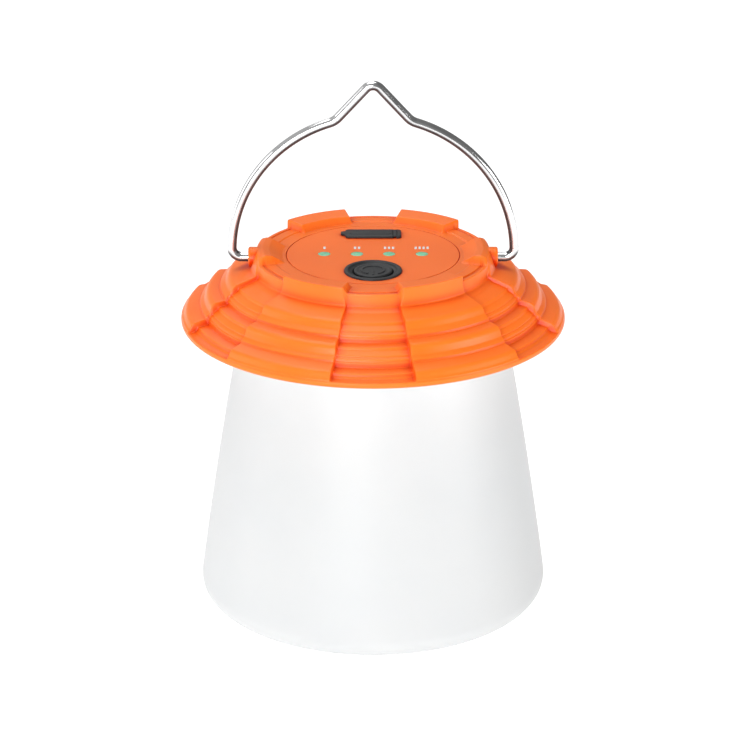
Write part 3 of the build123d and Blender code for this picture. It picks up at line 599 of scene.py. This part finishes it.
def stacked(name, levels, material, body, place=None, sharp=40):
    """A piece through closed outlines of equal counts, from bottom to top, with flat ends.

    levels are (outline, z) in millimetres, and place is a matrix from there to the row frame.
    """
    vertices, faces = stack_mesh(levels)
    if place is not None:
        vertices = [place @ Vector(v) for v in vertices]
    return mesh_object(name, vertices, faces, material, body, sharp=sharp)


def stack_mesh(levels, first=0):
    """Vertices and faces of stacked outlines, with the faces numbered from a first vertex."""
    count = len(levels[0][0])
    vertices = np.vstack([np.column_stack([outline, np.full(count, z)]) for outline, z in levels])
    faces = []
    for row in range(len(levels) - 1):
        for a in range(count):
            b = (a + 1) % count
            low, high = first + row * count, first + (row + 1) * count
            faces.append((low + a, low + b, high + b, high + a))
    last = first + (len(levels) - 1) * count
    faces.append(tuple(range(first + count - 1, first - 1, -1)))
    faces.append(tuple(range(last, last + count)))
    return vertices * MM, faces


def edge_levels(outline, low, high, edge, steps=5):
    """Levels of a slab from low to high whose top edge is rounded by edge."""
    levels = [(outline, low), (outline, high - edge)]
    for step in range(1, steps + 1):
        angle = pi / 2 * step / steps
        levels.append((shrunk(outline, edge * (1 - cos(angle))), high - edge * (1 - sin(angle))))
    return levels


# ---------------------------------------------------------------- ear bosses
BOSS_RADIUS = 3.1
BOSS_FACE = 38.8
BORE_RADIUS = 1.56


def ear_boss(side):
    """The round boss that a pin of the bail goes into, with its bore."""
    outline = [
        (BORE_RADIUS, -4.2), (BORE_RADIUS, -0.25), (BORE_RADIUS + 0.25, 0), (BOSS_RADIUS, 0),
        (BOSS_RADIUS, -3.6), (BOSS_RADIUS - 0.6, -4.2),
    ]
    path = resample(rounded_path(outline, (0, 0, 0.8, 0.3)), 44)
    rows = []
    for angle in np.linspace(0, 2 * pi, 72, endpoint=False):
        rows.append(
            np.column_stack(
                [
                    side * (BOSS_FACE + path[:, 1]),
                    path[:, 0] * cos(angle) * side,
                    HINGE_Z + path[:, 0] * sin(angle),
                ]
            )
        )
    faces = grid_faces(72, 44, closed_rows=True, closed_columns=True)
    name = "ear_boss_right" if side > 0 else "ear_boss_left"
    boss = mesh_object(name, np.vstack(rows) * MM, faces, cap_plastic, LANTERN)


ear_boss(1)
ear_boss(-1)


# ---------------------------------------------------------------- bail
WIRE_RADIUS = 1.5
BAIL_RADIUS = 43.9
BAIL_CENTRE = 1.7
BAIL_CORNER = 3.0
REVERSE_BEND = 6.0
PEAK_RADIUS = 3.0
LEG_ANGLE = radians(47.5)
PIN_END = 32.3
WIRE_SIDES = 40
# Where the painted reflection darkens the wire, in shares of its radius:
DARK_SIDE = 0.42             # share of the wire's radius, inwards, from which it is fully dark
DARK_UNDERSIDE = 0.18        # added to the share downwards, so that the underside darkens sooner
DARK_FADE = 0.16             # share over which it fades before that


def bail_path():
    """Centreline of the bail in its own plane, from the pin at +X round to the other pin."""
    peak_z = bail_high.z / MM - HINGE_Z - WIRE_RADIUS - PEAK_RADIUS
    leg_out, leg_up = sin(LEG_ANGLE), cos(LEG_ANGLE)
    reach = leg_up * (peak_z - BAIL_CENTRE) + PEAK_RADIUS + REVERSE_BEND
    round_end = atan2(leg_up, leg_out) + acos(reach / (BAIL_RADIUS + REVERSE_BEND))
    corner_x = sqrt((BAIL_RADIUS - BAIL_CORNER) ** 2 - (BAIL_CORNER - BAIL_CENTRE) ** 2)
    round_start = asin((BAIL_CORNER - BAIL_CENTRE) / (BAIL_RADIUS - BAIL_CORNER))
    half = [(PIN_END, 0.0), (corner_x - 2, 0.0)]

    def arc(centre, radius, first, last, steps):
        """Adds points of an arc to the half bail."""
        for angle in np.linspace(first, last, steps):
            half.append((centre[0] + radius * cos(angle), centre[1] + radius * sin(angle)))

    arc((corner_x, BAIL_CORNER), BAIL_CORNER, -pi / 2, round_start, 18)
    arc((0, BAIL_CENTRE), BAIL_RADIUS, round_start + 0.03, round_end, 60)
    bend = (
        (BAIL_RADIUS + REVERSE_BEND) * cos(round_end),
        BAIL_CENTRE + (BAIL_RADIUS + REVERSE_BEND) * sin(round_end),
    )
    leg_turn = atan2(leg_up, leg_out)
    arc(bend, REVERSE_BEND, round_end - pi, leg_turn - pi, 16)
    arc((0, peak_z), PEAK_RADIUS, leg_turn, pi / 2, 12)
    half = np.array(half)
    return np.vstack([half, half[-2::-1] * (-1, 1)])


def bail_wire():
    """Round wire along the bail's centreline, with flat pin ends."""
    path = bail_path()
    along = np.gradient(path, axis=0)
    along /= np.linalg.norm(along, axis=1)[:, None]
    around = np.linspace(0, 2 * pi, WIRE_SIDES, endpoint=False)
    rows, brightness = [], []
    for point, heading in zip(path, along):
        out = np.array([heading[1], -heading[0]])
        offset = WIRE_RADIUS * np.cos(around)
        # The inner side and the underside are painted dark, as bright_wire explains.
        inward = np.array([-point[0], BAIL_CENTRE - point[1]])
        inward /= np.linalg.norm(inward)
        side = np.cos(around) * (out @ inward)
        under = DARK_UNDERSIDE - np.cos(around) * out[1]
        brightness.append(np.clip((DARK_SIDE - np.maximum(side, under)) / DARK_FADE, 0, 1))
        rows.append(
            np.column_stack(
                [
                    point[0] + out[0] * offset,
                    WIRE_RADIUS * np.sin(around),
                    HINGE_Z + point[1] + out[1] * offset,
                ]
            )
        )
    faces = grid_faces(len(rows), WIRE_SIDES, closed_columns=True)
    faces.append(tuple(range(WIRE_SIDES - 1, -1, -1)))
    faces.append(tuple(range((len(rows) - 1) * WIRE_SIDES, len(rows) * WIRE_SIDES)))
    wire = mesh_object("bail_wire", np.vstack(rows) * MM, faces, wire_metal, BAIL, sharp=50)
    bright_side = wire.data.attributes.new("bright_side", "FLOAT", "POINT")
    bright_side.data.foreach_set("value", np.concatenate(brightness))
    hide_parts("bail")


bail_wire()


# ---------------------------------------------------------------- diffuser
DIFFUSER_TOP = diffuser_high.z / MM
SHOULDER_Z = BRIM_Z - RIM_BOTTOM - 0.8
SHOULDER_R = 41.3
NECK_R = 40.3
FOOT_R = 55.8
FOOT_ROUND = 6.6
SIDE_BULGE = 0.6
DIFFUSER_WALL = 1.6


def bulged(start, end, bulge, steps=40):
    """Points on a shallow arc from start to end that bows outwards by bulge."""
    start, end = np.array(start, float), np.array(end, float)
    chord = end - start
    out = np.array([-chord[1], chord[0]]) / np.linalg.norm(chord)
    out *= np.sign(out[0])
    return [
        tuple(start + chord * t + out * bulge * 4 * t * (1 - t)) for t in np.linspace(0, 1, steps)
    ]


def diffuser_body():
    """The frosted shell: neck, shoulder, bowed side and rounded foot, with its inside."""
    foot = (FOOT_R, 0)
    side = bulged((SHOULDER_R, SHOULDER_Z), foot, SIDE_BULGE)
    side = [point for point in side if point[1] > 2 * FOOT_ROUND]
    inner_foot = (FOOT_R - DIFFUSER_WALL - 0.3, 2.0)
    lining = bulged(
        (SHOULDER_R - DIFFUSER_WALL, SHOULDER_Z - DIFFUSER_WALL), inner_foot, SIDE_BULGE
    )
    lining = [point for point in lining if point[1] > 2 * FOOT_ROUND]
    outline = [(0, 0), foot, *side[::-1], (NECK_R, SHOULDER_Z), (NECK_R, DIFFUSER_TOP)]
    radii = [FOOT_ROUND] + [0] * (len(side) - 1) + [0.4, 0.1, 0.2]
    outline += [(NECK_R - 1.2, DIFFUSER_TOP), (NECK_R - 1.2, SHOULDER_Z), *lining, inner_foot, (0, 2.0)]
    radii += [0.2, 0.2] + [0] * len(lining) + [FOOT_ROUND - DIFFUSER_WALL]
    shell = lathe(
        "diffuser_shell", outline, radii, diffuser_plastic, LANTERN, count=260, turns=220, weight=3
    )
    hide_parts("diffuser")


diffuser_body()


# ---------------------------------------------------------------- button
BUTTON_Y = (button_low.y + button_high.y) / 2 / MM
BUTTON_R = (button_high.x - button_low.x) / 2 / MM
BEZEL_R = (bezel_high.x - bezel_low.x) / 2 / MM
PANEL_Z = BRIM_Z + PANEL_TOP
PANEL_UNDER = PANEL_Z - PANEL_THICKNESS
BEZEL_BOTTOM = bezel_low.z / MM
BUTTON_TOP = PANEL_Z + 0.5


def button_pieces():
    """Rubber surround, dished button and the raised on/off symbol on it."""
    inner = BUTTON_R + 0.3
    surround = lathe(
        "button_surround",
        [
            (inner, BEZEL_BOTTOM), (inner, PANEL_Z - 0.1), (inner + 0.9, PANEL_Z + 0.12),
            (BEZEL_R - 1.3, PANEL_Z + 0.6), (BEZEL_R - 0.15, PANEL_Z + 0.55), (BEZEL_R, PANEL_Z),
            (7.8, PANEL_Z), (7.8, PANEL_UNDER), (BEZEL_R, PANEL_UNDER), (BEZEL_R, BEZEL_BOTTOM),
            (inner, BEZEL_BOTTOM),
        ],
        (0.15, 0.5, 0.6, 0.35, 0.05, 0.1, 0.1, 0.1, 0.1),
        rubber, LANTERN, centre=(0, BUTTON_Y), count=70,
    )
    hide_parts("button_bezel")
    cap = lathe(
        "button_cap",
        [
            (0, PANEL_UNDER), (BUTTON_R, PANEL_UNDER), (BUTTON_R, BUTTON_TOP - 0.1),
            (BUTTON_R - 0.9, BUTTON_TOP), (4.6, BUTTON_TOP - 0.12), (0, BUTTON_TOP - 0.1),
        ],
        (0.1, 0.45, 0.3, 0.3),
        rubber, BUTTON, centre=(0, BUTTON_Y), count=50,
    )
    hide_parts("power_button")
    stem = lathe(
        "button_stem",
        [(0, button_low.z / MM), (1.7, button_low.z / MM), (1.7, PANEL_Z - 1.7), (0, PANEL_Z - 1.7)],
        (0.2, 0.1), rubber, BUTTON, centre=(0, BUTTON_Y), count=20, turns=48,
    )
    place = Matrix.Translation((0, BUTTON_Y * MM, 0))
    ring_r, line = 3.5, 0.7
    half_gap = radians(26)
    angles = np.linspace(-pi / 2 + half_gap, 3 * pi / 2 - half_gap, 60)
    outer = (ring_r + line / 2) * np.column_stack([np.cos(angles), np.sin(angles)])
    ring_inner = (ring_r - line / 2) * np.column_stack([np.cos(angles), np.sin(angles)])
    ring = np.vstack([outer, ring_inner[::-1]])
    bar = rounded_polygon(
        [(-line / 2, -4.6), (line / 2, -4.6), (line / 2, -1.0), (-line / 2, -1.0)], [0.2] * 4, 4
    )
    for name, outline in (("symbol_ring", ring), ("symbol_bar", bar)):
        levels = edge_levels(outline, BUTTON_TOP - 0.5, BUTTON_TOP + 0.13, 0.1, 3)
        mark = stacked(name, levels, rubber, BUTTON, place)


button_pieces()


# ---------------------------------------------------------------- charging port's flap
flap_low, flap_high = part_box("port_cover")
anchor_low, anchor_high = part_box("port_cover_anchor")
FLAP_Z = PANEL_Z + 0.15
FLAP_TOP = PANEL_Z + 0.9
LID_TOP = FLAP_TOP - 0.12       # the band stands this much higher
FLAP_Y = (flap_low.y + flap_high.y) / 2 / MM
FLAP_HALF = (flap_high.y - flap_low.y) / 2 / MM
FLAP_END = flap_high.x / MM
FLAP_TIP = flap_low.x / MM
FLAP_SHOULDER = -8.5


def port_flap_pieces():
    """The flap with its pull tab and raised band, its plug, its anchor and the web between."""
    corners = [
        (FLAP_END, -FLAP_HALF), (FLAP_END, FLAP_HALF), (FLAP_SHOULDER, FLAP_HALF),
        (FLAP_SHOULDER - 0.4, 1.9), (FLAP_TIP, 1.4), (FLAP_TIP, -0.6),
        (FLAP_SHOULDER - 0.4, -1.3), (FLAP_SHOULDER, -FLAP_HALF),
    ]
    outline = rounded_polygon(corners, (0.1, 0.1, 0.9, 0.3, 0.5, 0.5, 0.3, 0.9))
    place = Matrix.Translation((0, FLAP_Y * MM, 0))
    lid_levels = edge_levels(outline, FLAP_Z, LID_TOP, 0.28)
    flap = stacked("flap_lid", lid_levels, rubber, FLAP, place)
    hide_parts("port_cover")
    band = rounded_polygon(
        [(FLAP_END - 0.5, -1.5), (FLAP_END - 0.5, 1.5), (FLAP_SHOULDER + 1.0, 1.5),
         (FLAP_SHOULDER + 1.0, -1.5)],
        [1.2] * 4,
    )
    band_levels = edge_levels(band, FLAP_TOP - 0.3, FLAP_TOP, 0.12, 4)
    raised = stacked("flap_band", band_levels, rubber, FLAP, place)
    plug = rounded_polygon([(2.62, -1.13), (2.62, 1.13), (-4.62, 1.13), (-4.62, -1.13)], [1.0] * 4)
    low = flap_low.z / MM
    plug_levels = [(shrunk(plug, 0.2), low), (plug, low + 0.2), (plug, FLAP_Z + 0.1)]
    body = stacked("flap_plug", plug_levels, rubber, FLAP, place)
    start, end = anchor_low.x / MM, anchor_high.x / MM
    corners = [(end, -FLAP_HALF), (end, FLAP_HALF), (start, FLAP_HALF), (start, -FLAP_HALF)]
    outline = rounded_polygon(corners, (1.2, 1.2, 0.1, 0.1))
    anchor = stacked(
        "flap_anchor", edge_levels(outline, PANEL_Z, LID_TOP, 0.28), rubber, LANTERN, place
    )
    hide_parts("port_cover_anchor")
    web = port_web(FLAP_END - 0.3, start + 0.3)


def port_web(start, end):
    """The thin strip of rubber that the flap bends at, running straight from the flap to its anchor."""
    half, thickness, steps = FLAP_HALF - 0.35, 0.3, 12
    vertices = []
    for x in np.linspace(start, end, steps):
        for y, z in ((-half, 0), (half, 0), (half, thickness), (-half, thickness)):
            vertices.append((x * MM, (FLAP_Y + y) * MM, (FLAP_TOP - 0.45 + z) * MM))
    faces = grid_faces(steps, 4, closed_columns=True)
    faces = [face[::-1] for face in faces]
    faces += [(0, 1, 2, 3), tuple(4 * (steps - 1) + k for k in (3, 2, 1, 0))]
    mesh = bpy.data.meshes.new("flap_web")
    mesh.from_pydata(vertices, [], faces)
    mesh.materials.append(rubber)
    web = bpy.data.objects.new("flap_web", mesh)
    bpy.context.scene.collection.objects.link(web)
    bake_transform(web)
    return web


port_flap_pieces()


# ---------------------------------------------------------------- indicator lenses
LENS_FLANGE = 0.6


def lenses():
    """Four domed light pipes that stand a little out of the panel."""
    for number in range(1, 5):
        node = f"indicator_lens_{number}"
        low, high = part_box(node)
        centre = ((low.x + high.x) / 2 / MM, (low.y + high.y) / 2 / MM)
        top = high.z / MM
        flange = (high.x - low.x) / 2 / MM
        radius = flange - LENS_FLANGE
        lens = lathe(
            f"lens_{number}",
            [
                (0, low.z / MM), (1.2, low.z / MM), (1.2, PANEL_Z - 2.4), (flange, PANEL_Z - 2.4),
                (flange, PANEL_UNDER), (radius, PANEL_UNDER), (radius, top - 0.1),
                (0.9, top), (0, top),
            ],
            (0.1, 0.1, 0.1, 0.1, 0.05, 0.25, 0.6),
            lens_plastic, LANTERN, centre=centre, count=50, turns=64,
        )
        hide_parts(node)


lenses()


# ---------------------------------------------------------------- charge marks
MARK_Y = 5.9
MARK_THICKNESS = 0.03
BAR_HALF_WIDTH = 0.35
BAR_HALF_LENGTH = 1.1
BAR_PITCH = 1.25


def charge_marks():
    """White printed bars over the lenses, one more over each, for a quarter to a full charge."""
    vertices, faces = [], []
    for number in range(1, 5):
        low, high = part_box(f"indicator_lens_{number}")
        lens_x = (low.x + high.x) / 2 / MM
        for bar in range(number):
            x = lens_x + (bar - (number - 1) / 2) * BAR_PITCH
            left, right = x - BAR_HALF_WIDTH, x + BAR_HALF_WIDTH
            front, back = MARK_Y - BAR_HALF_LENGTH, MARK_Y + BAR_HALF_LENGTH
            outline = rounded_polygon(
                [(left, front), (right, front), (right, back), (left, back)], [0.2] * 4, 4
            )
            levels = [(outline, PANEL_Z - 0.02), (outline, PANEL_Z + MARK_THICKNESS)]
            bar_vertices, bar_faces = stack_mesh(levels, len(vertices))
            vertices.extend(bar_vertices)
            faces.extend(bar_faces)
    mesh_object("charge_marks", vertices, faces, print_white, LANTERN, smooth=False)


charge_marks()


# ================================================================ lights, floor and camera
LIGHT_TARGET = (0, 0, 0.09)
# Name, place and width in metres, power in watts.
SOFTBOXES = (
    ("key", (-0.3, -1.05, 0.26), 0.55, 8.4),
    ("fill", (1.0, -0.45, 0.25), 0.6, 6.0),
    ("left", (-1.05, 0.0, 0.4), 0.7, 2.2),
    ("top", (-0.15, 0.1, 1.15), 0.7, 5.2),
    ("back", (-0.2, 0.85, 0.95), 0.6, 1.5),
)


def area_light(name, place, size, power):
    """A square softbox aimed at the middle of the lantern."""
    data = bpy.data.lights.new(name, "AREA")
    data.shape = "SQUARE"
    data.size = size
    data.energy = power
    lamp = bpy.data.objects.new(name, data)
    lamp.location = place
    lamp.rotation_mode = "QUATERNION"
    lamp.rotation_quaternion = (Vector(LIGHT_TARGET) - Vector(place)).to_track_quat("-Z", "Y")
    bpy.context.scene.collection.objects.link(lamp)


def pale_floor():
    """A wide, almost white floor."""
    material, tree, shader = new_material("floor_paper", (0.35, 0.35, 0.35), 0.9)
    paper = texture(tree, "ShaderNodeTexNoise", 60, Detail=3.0)
    tree.links.new(
        ramp(tree, paper.outputs["Fac"], (0.34, 0.34, 0.34), (0.36, 0.36, 0.36)),
        shader.inputs["Base Color"],
    )
    shader.inputs["Emission Color"].default_value = (1, 1, 1, 1)
    shader.inputs["Emission Strength"].default_value = 0.85
    half = 4.0
    corners = [(-half, -half, 0), (half, -half, 0), (half, half, 0), (-half, half, 0)]
    mesh = bpy.data.meshes.new("floor")
    mesh.from_pydata(corners, [], [(0, 1, 2, 3)])
    mesh.materials.append(material)
    floor = bpy.data.objects.new("floor", mesh)
    bpy.context.scene.collection.objects.link(floor)


def studio_world():
    """Surroundings that are pale on the left and dark on the right."""
    world = bpy.data.worlds.new("studio")
    world.use_nodes = True
    tree = world.node_tree
    background = tree.nodes["Background"]
    background.inputs["Strength"].default_value = 1.0
    where = tree.nodes.new("ShaderNodeTexCoord")
    gradient = tree.nodes.new("ShaderNodeTexGradient")
    mapping = tree.nodes.new("ShaderNodeMapping")
    mapping.inputs["Location"].default_value = (0.5, 0, 0)
    mapping.inputs["Scale"].default_value = (-0.5, 1, 1)
    tree.links.new(where.outputs["Generated"], mapping.inputs["Vector"])
    tree.links.new(mapping.outputs["Vector"], gradient.inputs["Vector"])
    sides = tree.nodes.new("ShaderNodeValToRGB")
    sides.color_ramp.elements[0].position = 0.25
    sides.color_ramp.elements[1].position = 0.75
    sides.color_ramp.elements[0].color = (0.16, 0.16, 0.16, 1)
    sides.color_ramp.elements[1].color = (0.5, 0.5, 0.5, 1)
    tree.links.new(gradient.outputs["Fac"], sides.inputs["Fac"])
    tree.links.new(sides.outputs["Color"], background.inputs["Color"])
    bpy.context.scene.world = world


CAMERA_DISTANCE = 1.0
CAMERA_RISE = 20.7           # degrees above the horizon
FOCAL_LENGTH = 153.2
SENSOR = 36.0
AIM = (0.0, 0.0, BRIM_Z * MM)
SHIFT = (0.0026, -0.0817)


def camera():
    """From straight in front, looking down on the lantern, and unrolled."""
    data = bpy.data.cameras.new("camera")
    data.lens = FOCAL_LENGTH
    data.sensor_width = SENSOR
    data.shift_x, data.shift_y = SHIFT
    data.clip_start, data.clip_end = 0.05, 20
    made = bpy.data.objects.new("camera", data)
    rise = radians(CAMERA_RISE)
    back = Vector((0, -cos(rise), sin(rise)))
    made.location = Vector(AIM) + back * CAMERA_DISTANCE
    made.rotation_mode = "QUATERNION"
    made.rotation_quaternion = (-back).to_track_quat("-Z", "Y")
    bpy.context.scene.collection.objects.link(made)
    bpy.context.scene.camera = made


pale_floor()
studio_world()
for softbox in SOFTBOXES:
    area_light(*softbox)
camera()
bpy.context.scene.view_settings.view_transform = "Standard"
